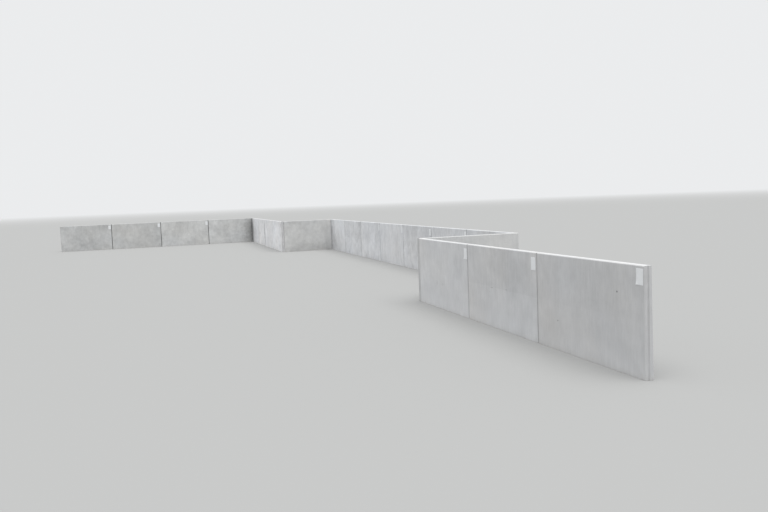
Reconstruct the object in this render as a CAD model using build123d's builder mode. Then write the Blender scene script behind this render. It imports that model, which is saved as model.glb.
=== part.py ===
"""Retaining wall of precast concrete panels, built in runs that step back round a recess.

Each panel has a smooth, plumb fair face in front and a battered back. Seen from the front, the
front run stands nearest, then a return leads back to the run behind the recess, a second return
leads forward again, the side run carries on in line with the front run, and the end run turns
forward across the far end.

X points right along the front run as seen from the front, Y points backwards, and Z up. The
origin is the middle of the wall's footprint at ground level. Sizes are in millimetres.
"""
from build123d import *
import os

# One panel: the upright stem of a precast element, from ground level up
module = 2000                 # one panel and one open joint
height = 1050                 # ground level to top
top_thickness = 80
foot_thickness = 90           # the fair face is plumb and the back leans in towards the top
end_arris = 10                # chamfer down both edges of each end
top_arris = 8                 # chamfer along both edges of the top

# Joint between two panels of a run
joint_gap = 6                 # open width between the two end faces
front_lip = 20                # between the fair face and the groove
groove_mouth = 26
groove_floor = 14
groove_depth = 10
flank_clearance = 1           # each side of the tongue
tongue_drop = 10              # the tongue stops this far below the top
seat = 0.3                    # clearance where one panel bears on the next

# Plan of the wall
front_count = 3               # panels in each run
back_count = 7
side_count = 4
end_count = 4
recess_depth = 1750           # front run's face to the face behind the recess

panel_length = module - joint_gap
return_length = recess_depth + top_thickness      # ends flush with the top of the back run
groove_centre = front_lip + groove_mouth / 2
tongue_length = groove_depth + joint_gap - seat
batter = foot_thickness - top_thickness

# Distance from the near end of the wall, along the front run, to each line of the plan
front_end = front_count * module - joint_gap
near_return_face = front_end + seat + foot_thickness
back_start = near_return_face + seat
back_end = back_start + back_count * module - joint_gap
far_return_face = back_end + seat
side_end = far_return_face + side_count * module - joint_gap
end_face = side_end + seat
wall_length = end_face + foot_thickness

# Distance backwards from the fair face of the front run to each line of the plan
far_return_stop = foot_thickness + seat + return_length
end_run_stop = foot_thickness - end_count * module + joint_gap - tongue_length

middle_x = wall_length / 2
middle_y = (far_return_stop + end_run_stop) / 2

# Directions
right = Vector(1, 0, 0)
left = Vector(-1, 0, 0)
away = Vector(0, 1, 0)
towards = Vector(0, -1, 0)
up = Vector(0, 0, 1)


def spot(along, deep):
    """A point at the foot: so far from the near end, and so far behind the front face."""
    return Vector(middle_x - along, deep - middle_y, 0)


def taper(centre, wide, narrow, depth):
    """Closed outline of a groove or tongue, from its wide side at zero to its narrow side."""
    Polyline(
        (centre - wide / 2, 0),
        (centre + wide / 2, 0),
        (centre + narrow / 2, depth),
        (centre - narrow / 2, depth),
        close=True,
    )


def make_panel(name, left_foot, rightwards, soilwards, length, tongue=False):
    """One panel, from the foot of its fair face at its left end."""
    section = Plane(origin=left_foot, x_dir=soilwards, z_dir=rightwards)
    left_plan = Plane(origin=left_foot, x_dir=soilwards, z_dir=up)
    right_plan = Plane(origin=left_foot + rightwards * length, x_dir=soilwards, z_dir=up)
    back_at_arris = top_thickness + batter * top_arris / height

    with BuildPart() as panel:
        # Upright section: plumb fair face, battered back, chamfered top
        with BuildSketch(section):
            with BuildLine():
                Polyline(
                    (0, 0),
                    (foot_thickness, 0),
                    (back_at_arris, height - top_arris),
                    (top_thickness - top_arris, height),
                    (top_arris, height),
                    (0, height - top_arris),
                    close=True,
                )
            make_face()
        extrude(amount=length)

        # Chamfers down the two long edges of each end
        run_axis = Axis(left_foot, rightwards)
        for which in (0, -1):
            end = panel.faces().sort_by(run_axis)[which]
            chamfer(end.edges().sort_by(SortBy.LENGTH)[-2:], length=end_arris)

        # Groove down the right end
        with BuildSketch(right_plan):
            with BuildLine():
                taper(groove_centre, groove_mouth, groove_floor, groove_depth)
            make_face()
        extrude(amount=height, mode=Mode.SUBTRACT)

        # Tongue down the left end, for the groove of the next panel
        if tongue:
            with BuildSketch(left_plan):
                with BuildLine():
                    root = groove_mouth - 2 * flank_clearance
                    tip = groove_floor - 2 * flank_clearance
                    taper(groove_centre, root, tip, tongue_length)
                make_face()
            extrude(amount=height - tongue_drop)

    panel.part.label = name
    export_step(panel.part, f"parts/{name}.step")


def make_run(name, count, right_foot, rightwards, soilwards, runs_on=False):
    """A row of panels, numbered from the right end of its fair face.

    Each has a tongue at its left end, but the last one only where the wall runs on.
    """
    for number in range(1, count + 1):
        left_foot = right_foot - rightwards * (number * module - joint_gap)
        tongue = number < count or runs_on
        make_panel(f"{name}_{number}", left_foot, rightwards, soilwards, panel_length, tongue)


os.makedirs("parts", exist_ok=True)

# The front run ends against the back of the near return, whose own end lies flush in its face
make_run("front_panel", front_count, spot(0, 0), right, away)
make_panel("near_return_panel", spot(near_return_face, return_length), towards, right, return_length)

# The run behind the recess stands between the two returns
make_run("back_panel", back_count, spot(back_start, recess_depth), right, away)

# The far return ends against the back of the side run, whose own end lies flush in its face
far_return_start = spot(far_return_face, far_return_stop - return_length)
make_panel("far_return_panel", far_return_start, away, left, return_length)
make_run("side_panel", side_count, spot(far_return_face, 0), right, away)

# The end run crosses behind the side run and carries on along the far end
make_run("end_panel", end_count, spot(end_face, foot_thickness), away, left, runs_on=True)
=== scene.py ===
"""Dresses a retaining wall of precast concrete panels: cast fair faces, floated backs, trowelled
tops, dusty feet, dirty joints, and a blank white label at the top right corner of a panel.

Metres, in the row frame: X right along the front run, Y backwards from its fair face, Z up.
"""
import math

import bpy
import numpy as np
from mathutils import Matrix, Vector


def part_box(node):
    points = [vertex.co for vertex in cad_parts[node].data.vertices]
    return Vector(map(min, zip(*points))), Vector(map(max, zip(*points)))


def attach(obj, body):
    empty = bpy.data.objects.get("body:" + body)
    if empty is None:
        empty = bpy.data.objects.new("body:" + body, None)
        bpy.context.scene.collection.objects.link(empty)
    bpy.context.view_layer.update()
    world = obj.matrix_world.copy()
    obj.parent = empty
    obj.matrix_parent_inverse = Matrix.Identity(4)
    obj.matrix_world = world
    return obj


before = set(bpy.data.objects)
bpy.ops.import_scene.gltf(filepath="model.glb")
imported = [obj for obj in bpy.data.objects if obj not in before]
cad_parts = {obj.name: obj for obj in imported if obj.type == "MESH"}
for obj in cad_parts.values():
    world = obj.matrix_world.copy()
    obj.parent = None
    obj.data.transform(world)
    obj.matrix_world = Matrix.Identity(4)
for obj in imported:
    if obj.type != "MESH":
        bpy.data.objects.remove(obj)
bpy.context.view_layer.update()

RIGHT, LEFT = (1, 0, 0), (-1, 0, 0)
AWAY, TOWARDS = (0, 1, 0), (0, -1, 0)
UP = (0, 0, 1)

# The wall
MODULE = 2.0                    # one panel and one open joint
JOINT = 0.006
HEIGHT = 1.05
END_SLACK = 0.001               # keeps each right end face with its own panel

# Labels
LABEL_WIDTH = 0.102
LABEL_HEIGHT = 0.152
LABEL_THICKNESS = 0.0004
LABEL_GAP = 0.0006              # how far its front stands off the concrete
LABEL_RIPPLE = 0.0002
LABEL_CURL = 0.05               # times the square of how far past the fold a point lies
LABEL_COLUMNS, LABEL_ROWS = 29, 41
LABEL_TILT = 1.2                # degrees either way
LABEL_SEED = 11

# How far apart in the noise two panels lie, and two runs, so that no two of them look alike
PANEL_SHIFT, PANEL_SHIFT_DEEP = 7.31, 3.7
RUN_SHIFT = 23.7

# Colours
COOL_TINT = (0.988, 0.999, 1.014, 1)
WARM_TINT = (1.012, 1.001, 0.984, 1)
# Painted shade inside the blow holes
HOLE_SHADE_COLOUR = (0.12, 0.118, 0.11, 1)
DUST_COLOUR = (0.50, 0.475, 0.42, 1)
DAMP_COLOUR = (0.16, 0.155, 0.14, 1)
LABEL_COLOUR = (0.745, 0.755, 0.765)
LABEL_SPECK_COLOUR = (0.35, 0.34, 0.31, 1)
BACK_TONE = 0.56                # how light the floated backs are

# Studio
FLOOR_COLOUR = (0.37, 0.37, 0.366, 1)
FLOOR_SIDES = 96
FLOOR_RADIUS = 250.0
FADE_START, FADE_END = 60.0, 230.0
WORLD_COLOUR = (0.95, 0.975, 1.0, 1)
WORLD_STRENGTH = 0.785
BACKDROP_COLOUR = (0.83, 0.84, 0.85, 1)
LAMP_COLOUR = (1.0, 0.995, 0.98)
LAMP_STRENGTH = 2.69
LAMP_WIDTH = 75                 # degrees, wide enough for soft shadows
LAMP_TILT = 12                  # degrees from straight down
CAMERA_PLACE = (19.8175, -1.1756, 1.7534)
CAMERA_TURN = (85.5254, 2.2146, 72.9452)        # degrees
SENSOR_WIDTH = 36               # millimetres, as is the lens
LENS = 35.256
VIEW_DEPTH = 1000

# The runs of panels, and how the concrete of each one looks:
#   panels      its panels, from the right end as seen from the front
#   right       the way to that end
#   inwards     the way into the wall from the fair face
#    tones       how light each panel's fair face is: partly its own tone, and partly painted shade
#                on the front run and painted light on the back and side runs
#   top         how light the tops are
#   end         the bare end face at the right, as a share of the panel's own tone
#   tint        the cast of the colour
#   clouds      how cloudy each panel is
#   streaks     how streaked the run is
#   joints      how dark the dirt in its joints is
#   mould_line  height of the line where two sheets of the mould met, where that shows
#   steps       how much darker each panel is above that line
#    marks       stains, and near some corners and ends painted shade and painted light, on the fair
#                face: distance from the run's right end, height, half width, half height, and how
#                much it darkens, or below zero, how much it lightens
RUNS = {
    "front": {
        "panels": [f"front_panel_{n}" for n in range(1, 4)],
        "right": RIGHT,
        "inwards": AWAY,
        # Darker than the far runs: partly painted shade, partly the panels' own tone
        "tones": [0.525, 0.570, 0.595],
        "top": 0.600,
        "end": 1.01,
        "tint": (1.000, 0.998, 1.005),
        "clouds": [1.35, 1.40, 1.45],
        "streaks": 1.8,
        "joints": 0.25,
        "mould_line": 0.525,
        "steps": [0.012, 0.048, 0.015],
        "marks": [
            (0.43, 0.771, 0.011, 0.011, 0.80),
            (1.544, 0.329, 0.013, 0.009, 0.60),
            (0.80, 0.93, 0.008, 0.16, -0.06),
            (0.86, 0.90, 0.006, 0.19, -0.05),
            (2.80, 0.535, 0.040, 0.010, 0.26),
            (2.81, 0.60, 0.045, 0.07, 0.04),
            (3.22, 0.520, 0.050, 0.009, 0.26),
            (3.25, 0.57, 0.05, 0.06, 0.04),
            (2.75, 0.76, 0.75, 0.32, 0.065),
            (5.22, 0.390, 0.060, 0.060, 0.09),
            (4.98, 0.385, 0.060, 0.030, 0.07),
            (4.35, 0.75, 0.25, 0.25, 0.04),
            (0.60, 0.80, 0.90, 0.28, 0.05),
            (2.0, 0.0, 9.0, 0.26, -0.08),
        ],
    },
    "near_return": {
        "panels": ["near_return_panel"],
        "right": TOWARDS,
        "inwards": RIGHT,
        "tones": [0.56],
        "top": 0.500,
        "end": 0.90,
        "tint": (1.0, 1.0, 0.995),
        "clouds": [1.5],
        "streaks": 1.2,
        "joints": 0.50,
        "marks": [],
    },
    "back": {
        "panels": [f"back_panel_{n}" for n in range(1, 8)],
        "right": RIGHT,
        "inwards": AWAY,
        # Lighter than the front run: partly painted light, partly the panels' own tone
        "tones": [0.620, 0.615, 0.615, 0.668, 0.660, 0.680, 0.690],
        "top": 0.545,
        "end": 1.0,
        "tint": (0.993, 1.0, 1.022),
        "clouds": [2.4, 2.4, 3.2, 1.8, 3.4, 3.4, 2.0],
        "streaks": 3.0,
        "joints": 0.60,
        "mould_line": 0.52,
        "steps": [0.01, 0.01, 0.01, 0.01, 0.015, 0.055, 0.0],
        "marks": [
            (10.58, 0.648, 0.06, 0.03, 0.14),
            (5.60, 0.40, 0.05, 0.16, 0.07),
            (4.75, 0.55, 0.07, 0.02, 0.06),
            (10.10, 0.95, 0.24, 0.40, 0.12),
            (10.06, 0.45, 0.10, 0.60, 0.10),
            (12.0, 0.50, 0.03, 0.50, 0.05),
            # Painted shade in the corner with the far return
            (14.05, 0.35, 1.00, 1.00, 0.25),
            (14.02, 0.62, 0.32, 0.90, 0.25),
            (13.0, 0.0, 1.60, 0.75, 0.11),
            (12.8, 1.05, 0.90, 0.40, -0.07),
            (12.25, 0.55, 0.35, 0.90, -0.05),
            (7.72, 0.55, 0.16, 0.60, -0.03),
            (6.12, 0.50, 0.14, 0.60, -0.03),
        ],
    },
    "far_return": {
        "panels": ["far_return_panel"],
        "right": AWAY,
        "inwards": LEFT,
        "tones": [0.545],
        "top": 0.51,
        "end": 1.0,
        "tint": (1.0, 1.0, 0.994),
        "clouds": [3.0],
        "streaks": 1.3,
        "joints": 0.60,
        "marks": [
            (0.50, 0.66, 0.018, 0.07, 0.10),
            (0.92, 0.70, 0.015, 0.10, 0.05),
            # Painted light that evens out the shade near the corner with the back run, then a
            # thin line of painted shade right at the corner
            (0.10, 0.60, 0.26, 0.90, -0.18),
            (0.28, 0.70, 0.26, 0.42, -0.045),
            (0.02, 0.74, 0.10, 0.45, 0.15),
            (1.52, 1.02, 0.45, 0.17, 0.15),
            (1.40, 0.80, 0.30, 0.20, 0.05),
            (0.90, 0.05, 1.6, 0.28, 0.10),
        ],
    },
    "side": {
        "panels": [f"side_panel_{n}" for n in range(1, 5)],
        "right": RIGHT,
        "inwards": AWAY,
        # Lighter than the front run: partly painted light, partly the panels' own tone
        "tones": [0.780, 0.765, 0.725, 0.730],
        "top": 0.545,
        "end": 0.72,
        "tint": (1.0, 0.996, 1.010),
        "clouds": [3.6, 3.4, 3.6, 3.6],
        "streaks": 1.6,
        "joints": 0.68,
        "marks": [
            # Painted shade along the right end and its head, where the arris lies in shade
            (0.0, 0.92, 0.20, 0.14, 0.30),
            (0.1, 0.55, 0.55, 0.80, 0.07),
            (4.05, 0.50, 0.18, 0.60, 0.34),
            (2.3, 0.905, 0.05, 0.012, 0.06),
            # A stain with painted shade over it, in the corner with the end run
            (8.05, 0.40, 1.25, 0.85, 0.22),
            (8.0, 0.45, 0.60, 0.85, 0.50),
            (7.95, 0.95, 0.50, 0.45, 0.24),
        ],
    },
    "end": {
        "panels": [f"end_panel_{n}" for n in range(1, 5)],
        "right": AWAY,
        "inwards": LEFT,
        "tones": [0.535, 0.545, 0.492, 0.495],
        "top": 0.49,
        "end": 1.0,
        "tint": (1.0, 1.002, 0.994),
        "clouds": [3.8, 3.6, 3.0, 3.4],
        "streaks": 2.0,
        "joints": 0.85,
        "marks": [
            (3.53, 0.64, 0.05, 0.02, 0.12),
            (4.35, 0.636, 0.02, 0.05, 0.14),
            # A stain with painted shade over it, in the corner with the side run
            (0.05, 0.45, 0.50, 0.95, 0.30),
            (0.0, 0.50, 0.20, 2.00, 0.58),
            (0.0, 1.00, 0.16, 0.30, 0.12),
            (2.05, 0.75, 0.12, 0.60, 0.08),
        ],
    },
}

# Which panels of a run carry a label, how far it hangs below the top, and how far its right edge
# lies from the panel's right end
LABELS = {
    "front": {1: (0.030, 0.024), 2: (0.055, 0.028), 3: (0.062, 0.011)},
    "back": {
        1: (0.045, 0.018),
        2: (0.045, 0.018),
        3: (0.050, 0.018),
        4: (0.050, 0.022),
        5: (0.055, 0.020),
        7: (0.050, 0.018),
    },
    "end": {2: (0.055, 0.018), 3: (0.050, 0.022), 4: (0.050, 0.018)},
}


# Materials


class Wire:
    """One socket of a finish. Arithmetic on it adds Math nodes."""

    def __init__(self, finish, socket):
        self.finish = finish
        self.socket = socket

    def __add__(self, other):
        return self.finish.math("ADD", self, other)

    def __sub__(self, other):
        return self.finish.math("SUBTRACT", self, other)

    def __rsub__(self, other):
        return self.finish.math("SUBTRACT", other, self)

    def __mul__(self, other):
        return self.finish.math("MULTIPLY", self, other)

    def __truediv__(self, other):
        return self.finish.math("DIVIDE", self, other)

    __radd__ = __add__
    __rmul__ = __mul__


class Finish:
    """A procedural material, or the world, put together from nodes."""

    def __init__(self, owner):
        self.owner = owner
        self.owner.use_nodes = True
        self.tree = self.owner.node_tree
        self.tree.nodes.clear()

    def node(self, kind, settings=None, inputs=None, out=0):
        """Adds one node, with its settings first, then the values or links of its sockets.

        It gives the node's output called out, or one for each name in a tuple.
        """
        made = self.tree.nodes.new(kind)
        for name, value in (settings or {}).items():
            setattr(made, name, value)
        for name, value in (inputs or {}).items():
            if isinstance(value, Wire):
                self.tree.links.new(value.socket, made.inputs[name])
            else:
                made.inputs[name].default_value = value
        if isinstance(out, tuple):
            return [Wire(self, made.outputs[name]) for name in out]
        return Wire(self, made.outputs[out]) if made.outputs else None

    def math(self, operation, first, second=0.0):
        return self.node("ShaderNodeMath", {"operation": operation}, {0: first, 1: second})

    def vector_math(self, operation, first, second=(0, 0, 0), out="Vector"):
        return self.node(
            "ShaderNodeVectorMath", {"operation": operation}, {0: first, 1: second}, out
        )

    def scaled(self, vector, by):
        return self.node(
            "ShaderNodeVectorMath", {"operation": "SCALE"}, {"Vector": vector, "Scale": by}
        )

    def dot(self, vector, direction):
        return self.vector_math("DOT_PRODUCT", vector, direction, "Value")

    def point(self, x, y, z):
        return self.node("ShaderNodeCombineXYZ", {}, {"X": x, "Y": y, "Z": z})

    def ease(self, value, start, stop, low=0.0, high=1.0):
        """Runs smoothly from low to high while the value runs from start to stop."""
        return self.node(
            "ShaderNodeMapRange",
            {"interpolation_type": "SMOOTHSTEP"},
            {"Value": value, "From Min": start, "From Max": stop, "To Min": low, "To Max": high},
        )

    def cloud(self, vector, scale, detail=3.0, roughness=0.5):
        """Soft noise between about -0.5 and 0.5. The scale is how many clouds fill a metre."""
        noise = self.node(
            "ShaderNodeTexNoise",
            {},
            {"Vector": vector, "Scale": scale, "Detail": detail, "Roughness": roughness},
        )
        return noise - 0.5

    def holes(self, vector, scale, radius, share):
        """1 in the middle of scattered round holes of up to that radius, 0 between them.

        Of the cells that the scale gives, about that share have a hole, each of its own size.
        """
        sockets = {"Vector": vector, "Scale": scale}
        apart, color = self.node("ShaderNodeTexVoronoi", {}, sockets, ("Distance", "Color"))
        chance = self.dot(color, (1, 0, 0))
        reach = radius * scale
        return self.ease(apart + chance * (reach / share), reach, reach * 0.6)

    def mixed(self, first, second, share):
        """The first colour, turning into the second as share runs from 0 to 1."""
        return self.node(
            "ShaderNodeMix", {"data_type": "RGBA"}, {0: share, 6: first, 7: second}, 2
        )

    def close(self, color, roughness, relief, depth):
        """Ends the finish in a shader. Relief is in units of depth, in metres."""
        normal = self.node(
            "ShaderNodeBump", {}, {"Height": relief, "Distance": depth, "Strength": 1.0}
        )
        shader = self.node(
            "ShaderNodeBsdfPrincipled",
            {},
            {"Base Color": color, "Roughness": roughness, "Normal": normal},
        )
        self.node("ShaderNodeOutputMaterial", {}, {"Surface": shader})
        return self.owner


def run_place(run):
    """Where a run's right end and fair face lie, each measured along its own direction."""
    right, inwards = Vector(run["right"]), Vector(run["inwards"])
    points = [corner for name in run["panels"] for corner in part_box(name)]
    return max(right.dot(point) for point in points), min(inwards.dot(point) for point in points)


class CastConcrete(Finish):
    """Concrete cast against smooth moulds, as it lies on one run of panels."""

    def __init__(self, name, run, seed):
        super().__init__(bpy.data.materials.new("cast_concrete_" + name))
        self.run = run
        self.find_place(seed)
        self.find_sides()

    def find_place(self, seed):
        """Distances in the panel: from its right end, into the wall, and up."""
        right_end, face = run_place(self.run)
        panels = self.run["panels"]
        length = MODULE - JOINT
        if len(panels) == 1:
            low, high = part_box(panels[0])
            length = abs(Vector(self.run["right"]).dot(high - low))
        self.total = (len(panels) - 1) * MODULE + length
        place = self.node("ShaderNodeTexCoord", out="Object")
        self.along = right_end - self.dot(place, self.run["right"])
        self.deep = self.dot(place, self.run["inwards"]) - face
        self.up = self.dot(place, UP)
        self.number = self.math("FLOOR", (self.along + END_SLACK) / MODULE)
        across = self.along - self.number * MODULE
        self.from_left = length - across
        self.from_end = self.math("MINIMUM", across, self.from_left)

        # The point that the noise reads
        noise_along = across + self.number * PANEL_SHIFT + seed
        noise_deep = self.deep + self.number * PANEL_SHIFT_DEEP
        self.here = self.point(noise_along, noise_deep, self.up)

    def find_sides(self):
        """1 on the faces that look each way, about half on the chamfers beside them, else 0."""
        normal = self.node("ShaderNodeTexCoord", out="Normal")
        towards_right = self.dot(normal, self.run["right"])
        towards_back = self.dot(normal, self.run["inwards"])
        self.faces_up = self.ease(self.dot(normal, UP), 0.5, 0.9)
        self.fair_face = self.ease(towards_back, -0.5, -0.9)
        self.back_face = self.ease(towards_back, 0.5, 0.9)
        self.upright = 1.0 - self.faces_up

        # No dirt gathers at the run's own two ends, only between its panels
        bare_end = self.ease(self.along, 0.03, 0.015)
        self.right_end = self.ease(towards_right, 0.3, 0.6) * bare_end
        far_end = self.ease(self.total - self.along, 0.03, 0.015)
        self.inner = (1.0 - bare_end) * (1.0 - far_end)

    def per_panel(self, values):
        """Each panel's own value: a step at each joint, from the right end on."""
        own = values[0]
        for number, (before, value) in enumerate(zip(values, values[1:])):
            past = self.math("GREATER_THAN", self.number, number + 0.5)
            own = past * (value - before) + own
        return own

    def clouds_and_streaks(self):
        """Clouding, and streaks that water and the mould left down the faces."""
        here = self.here
        big = self.cloud(here, 1.3, 3.0, 0.5)
        patchy = self.cloud(here, 3.4, 3.0, 0.5)
        self.middling = self.cloud(here, 8.0, 4.0, 0.6)
        self.grain = self.cloud(here, 90.0, 3.0, 0.65)
        long_drawn = self.vector_math("MULTIPLY", here, (1.0, 1.0, 0.07))
        short_drawn = self.vector_math("MULTIPLY", here, (1.0, 1.0, 0.13))
        broad_streaks = self.cloud(long_drawn, 9.0, 3.0, 0.6)
        self.fine_streaks = self.cloud(short_drawn, 42.0, 3.0, 0.65)
        pale_runs = self.ease(self.cloud(short_drawn, 30.0, 2.0, 0.5), 0.10, 0.26)
        clouds = big * 0.12 + patchy * 0.13 + self.middling * 0.12
        streaks = broad_streaks * 0.065 + self.fine_streaks * 0.150 + pale_runs * 0.022
        streaks = streaks * self.ease(self.up, 0.1, 1.0, 0.7, 1.0) * self.upright
        clouds = clouds * self.per_panel(self.run["clouds"])
        return clouds + self.grain * 0.10 + streaks * self.run["streaks"]

    def mould_steps(self):
        """How much darker the concrete is above the line where two sheets of the mould met."""
        if "mould_line" not in self.run:
            return 0.0
        wander = self.cloud(self.scaled(self.here, 1.5), 1.0, 2.0) * 0.06
        edge = self.run["mould_line"]
        above = self.ease(self.up + wander, edge - 0.006, edge + 0.006)
        return above * self.fair_face * self.per_panel(self.run["steps"])

    def joint_dirt(self):
        """Dirt that lies in the joints and a little way out over their chamfers."""
        ragged = self.from_end + self.middling * 0.004
        in_joint = self.ease(ragged, 0.012, 0.001, 0.0, self.run["joints"])
        beside = self.ease(ragged, 0.035, 0.008, 0.0, 0.06)
        return (in_joint + beside) * self.inner * self.upright

    def stains_and_painted_shade(self, tone):
        """The tone with the run's marks on it: stains, painted shade and painted light, each an
        oval with a ragged, soft edge.
        """
        for where, height, half_width, half_height, darker in self.run["marks"]:
            x = (self.along - where) / half_width
            z = (self.up - height) / half_height
            reach = self.vector_math("LENGTH", self.point(x, 0.0, z), out="Value")
            reach = reach + self.middling * 0.8
            tone = tone * (1.0 - self.ease(reach, 1.1, 0.25, 0.0, darker) * self.fair_face)
        return tone

    def shades(self):
        """How light the concrete is, as a share of the base tone of its side.

        The fair face is a little paler near its left end.
        """
        tone = self.clouds_and_streaks() + 1.0
        tone = tone * (1.0 - self.mould_steps())
        tone = tone * (1.0 + self.ease(self.from_left, 0.22, 0.05, 0.0, 0.02) * self.fair_face)
        tone = self.stains_and_painted_shade(tone * (1.0 - self.joint_dirt()))
        return tone * (1.0 + self.right_end * (self.run["end"] - 1.0))

    def base_tone(self):
        """How light each side is: the fair face and the ends, the top, and the back."""
        base = self.per_panel(self.run["tones"]) * self.upright + self.faces_up * self.run["top"]
        return base * (1.0 - self.back_face) + self.back_face * BACK_TONE

    def tint(self):
        """The run's own cast, a little cooler in places and a little warmer in others."""
        warm = self.cloud(self.here, 0.9, 2.0) * 2.0 + 0.5
        tint = self.mixed(COOL_TINT, WARM_TINT, warm)
        return self.vector_math("MULTIPLY", tint, self.run["tint"])

    def blow_holes(self):
        """Holes that air left against the mould, most of them pinholes."""
        large = self.holes(self.here, 6.0, 0.0060, 0.25) * self.upright
        small = self.holes(self.here, 22.0, 0.0032, 0.35)
        pinholes = self.holes(self.here, 75.0, 0.0013, 0.55)
        return self.math("MAXIMUM", self.math("MAXIMUM", large, small), pinholes * 0.7)

    def finished(self):
        """The whole material: colour, holes, dust, damp, relief and roughness."""
        shades = self.shades()
        base = self.base_tone()
        color = self.scaled(self.tint(), base * shades)
        holes = self.blow_holes()
        # Painted shade inside the blow holes
        color = self.mixed(color, HOLE_SHADE_COLOUR, holes * 0.75)

        # Dust splashed over the foot, and the damp line at its very edge
        ragged = self.up + self.middling * 0.05 + self.fine_streaks * 0.03
        dust = self.ease(ragged, 0.07, 0.0) * self.upright
        color = self.mixed(color, DUST_COLOUR, dust * 0.12)
        damp = self.ease(self.up + self.middling * 0.01, 0.010, 0.002)
        color = self.mixed(color, DAMP_COLOUR, damp * 0.28)

        # The float and the trowel drew the surface out along the panel
        stretched = (0.3, 1.0, 1.0)
        floated = self.cloud(self.vector_math("MULTIPLY", self.here, stretched), 45.0, 4.0, 0.6)
        trowelled = self.cloud(self.vector_math("MULTIPLY", self.here, stretched), 70.0, 4.0, 0.6)
        relief = self.middling * 0.35 + self.grain * 0.30 + self.fine_streaks * 0.2 - holes * 2.0
        relief = relief + floated * self.back_face * 1.6 + trowelled * self.faces_up * 1.4
        roughness = 0.80 + self.grain * 0.12 + self.middling * 0.08 - damp * 0.2
        return self.close(color, roughness, relief, 0.001)


def label_film():
    """White film that has weathered a little, bare of any print."""
    f = Finish(bpy.data.materials.new("white_label_film"))
    place = f.node("ShaderNodeTexCoord", out="Object")
    patchy = f.cloud(place, 30.0, 4.0, 0.6)
    dust = f.cloud(f.vector_math("MULTIPLY", place, (1.0, 1.0, 0.15)), 120.0, 3.0, 0.6)
    color = f.scaled(LABEL_COLOUR, 1.0 + patchy * 0.10 + dust * 0.10)
    specks = f.holes(place, 160.0, 0.0010, 0.4)
    color = f.mixed(color, LABEL_SPECK_COLOUR, specks * 0.5)
    return f.close(color, 0.55 + patchy * 0.2, patchy * 0.5 + dust * 0.2, 0.0005)


# Pieces


def skin(name, points, material):
    """A smooth mesh through a grid of points.

    Each face looks along the step to the next column crossed with the step to the next row.
    """
    rows, columns = points.shape[:2]
    index = np.arange(rows * columns).reshape(rows, columns)
    quads = np.stack(
        [index[:-1, :-1], index[:-1, 1:], index[1:, 1:], index[1:, :-1]], axis=-1
    ).reshape(-1, 4)
    mesh = bpy.data.meshes.new(name)
    mesh.from_pydata(points.reshape(-1, 3), [], quads)
    mesh.polygons.foreach_set("use_smooth", np.ones(len(quads), bool))
    mesh.materials.append(material)
    piece = bpy.data.objects.new(name, mesh)
    bpy.context.scene.collection.objects.link(piece)
    return piece


def blank_label(name, top_right, right, outwards, turn, material, rng):
    """A thin bare label, hung by its top right corner.

    Width runs with a and height with b, both from 0 to 1. It stands off the face by a hair, by a
    ripple that is the product of two sines, and near its lower left corner by the square of the
    distance past a fold line. The whole is turned in its plane about the corner it hangs by.
    """
    a, b = np.meshgrid(np.linspace(0, 1, LABEL_COLUMNS), np.linspace(0, 1, LABEL_ROWS))
    ripple = np.sin(a * rng.uniform(5, 9) + rng.uniform(0, 6)) * np.sin(b * rng.uniform(6, 11))
    past_fold = np.maximum(0, (1 - a) + (1 - b) - rng.uniform(1.55, 1.85))
    stand_off = LABEL_GAP + LABEL_RIPPLE * ripple + LABEL_CURL * past_fold**2
    flat_x = (a - 1) * LABEL_WIDTH
    flat_z = (b - 1) * LABEL_HEIGHT
    x = flat_x * math.cos(turn) - flat_z * math.sin(turn)
    z = flat_x * math.sin(turn) + flat_z * math.cos(turn)
    steps = ((x, right), (z, UP), (stand_off, outwards))
    grid = [step[..., None] * np.array(axis, float) for step, axis in steps]
    piece = skin(name, np.array(top_right) + sum(grid), material)
    wall = piece.modifiers.new("thickness", "SOLIDIFY")
    wall.thickness = LABEL_THICKNESS
    wall.offset = -1
    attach(piece, "root")
    return piece


def dress_panels():
    """Gives each run of panels its own concrete."""
    for order, (name, run) in enumerate(RUNS.items()):
        material = CastConcrete(name, run, order * RUN_SHIFT).finished()
        for panel in run["panels"]:
            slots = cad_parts[panel].data.materials
            slots.clear()
            slots.append(material)


def hang_labels():
    """Hangs the blank labels, none of them quite straight."""
    film = label_film()
    rng = np.random.default_rng(LABEL_SEED)
    for name, places in LABELS.items():
        run = RUNS[name]
        right, inwards = Vector(run["right"]), Vector(run["inwards"])
        right_end, face = run_place(run)
        for number, (drop, margin) in places.items():
            edge = right_end - (number - 1) * MODULE - margin
            top_right = right * edge + inwards * face + Vector((0, 0, HEIGHT - drop))
            turn = math.radians(rng.uniform(-LABEL_TILT, LABEL_TILT))
            blank_label(f"{name}_label_{number}", top_right, right, -inwards, turn, film, rng)


# Floor, light and camera


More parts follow.
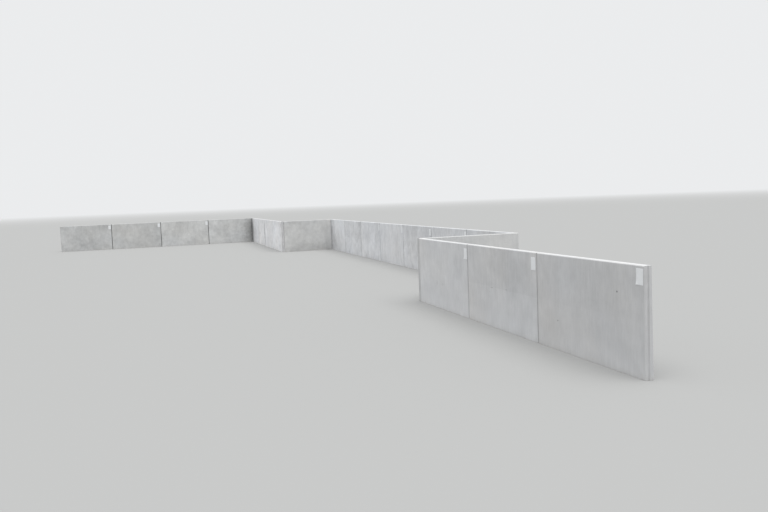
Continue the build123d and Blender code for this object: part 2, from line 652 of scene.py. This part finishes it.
def studio_floor():
    """A pale round floor that fades into the background far from the wall.

    Its points lie on rings, at each radius times the cosine and the sine of the turn.
    """
    f = Finish(bpy.data.materials.new("pale_floor"))
    place = f.node("ShaderNodeTexCoord", out="Object")
    away = f.vector_math("LENGTH", place, out="Value")
    paint = f.node("ShaderNodeBsdfDiffuse", {}, {"Color": FLOOR_COLOUR})
    clear = f.node("ShaderNodeBsdfTransparent")
    faded = f.ease(away, FADE_START, FADE_END)
    both = f.node("ShaderNodeMixShader", {}, {0: faded, 1: paint, 2: clear})
    f.node("ShaderNodeOutputMaterial", {}, {"Surface": both})
    radii = np.array([0.0, FADE_START, FLOOR_RADIUS])
    radius, turn = np.meshgrid(radii, np.linspace(0, 2 * np.pi, FLOOR_SIDES + 1))
    disc = np.stack([radius * np.cos(turn), radius * np.sin(turn), 0 * turn], axis=-1)
    floor = skin("studio_floor", disc, f.owner)


def soft_world():
    """Even light from all round, and a pale background where the camera looks past the floor."""
    world = bpy.data.worlds.new("soft_world")
    f = Finish(world)
    light = f.node(
        "ShaderNodeBackground", {}, {"Color": WORLD_COLOUR, "Strength": WORLD_STRENGTH}
    )
    backdrop = f.node("ShaderNodeBackground", {}, {"Color": BACKDROP_COLOUR, "Strength": 1.0})
    rays = ("Is Camera Ray", "Is Glossy Ray", "Is Transmission Ray")
    camera, glossy, transmission = f.node("ShaderNodeLightPath", out=rays)
    seen = f.math("MAXIMUM", f.math("MAXIMUM", camera, glossy), transmission)
    both = f.node("ShaderNodeMixShader", {}, {0: seen, 1: light, 2: backdrop})
    f.node("ShaderNodeOutputWorld", {}, {"Surface": both})
    bpy.context.scene.world = world


def overhead_light():
    """One broad light from above, and a little from the right."""
    lamp = bpy.data.lights.new("overhead_light", "SUN")
    lamp.energy = LAMP_STRENGTH
    lamp.angle = math.radians(LAMP_WIDTH)
    lamp.color = LAMP_COLOUR
    light = bpy.data.objects.new("overhead_light", lamp)
    light.rotation_euler = (0, math.radians(LAMP_TILT), 0)
    bpy.context.scene.collection.objects.link(light)


def camera_in_front():
    """The camera, at eye height in front of the wall and past its near end."""
    data = bpy.data.cameras.new("camera")
    data.sensor_width = SENSOR_WIDTH
    data.lens = LENS
    data.clip_end = VIEW_DEPTH
    camera = bpy.data.objects.new("camera", data)
    camera.location = CAMERA_PLACE
    camera.rotation_euler = [math.radians(angle) for angle in CAMERA_TURN]
    bpy.context.scene.collection.objects.link(camera)
    bpy.context.scene.camera = camera


dress_panels()
hang_labels()
studio_floor()
soft_world()
overhead_light()
camera_in_front()
bpy.context.scene.view_settings.view_transform = "Standard"
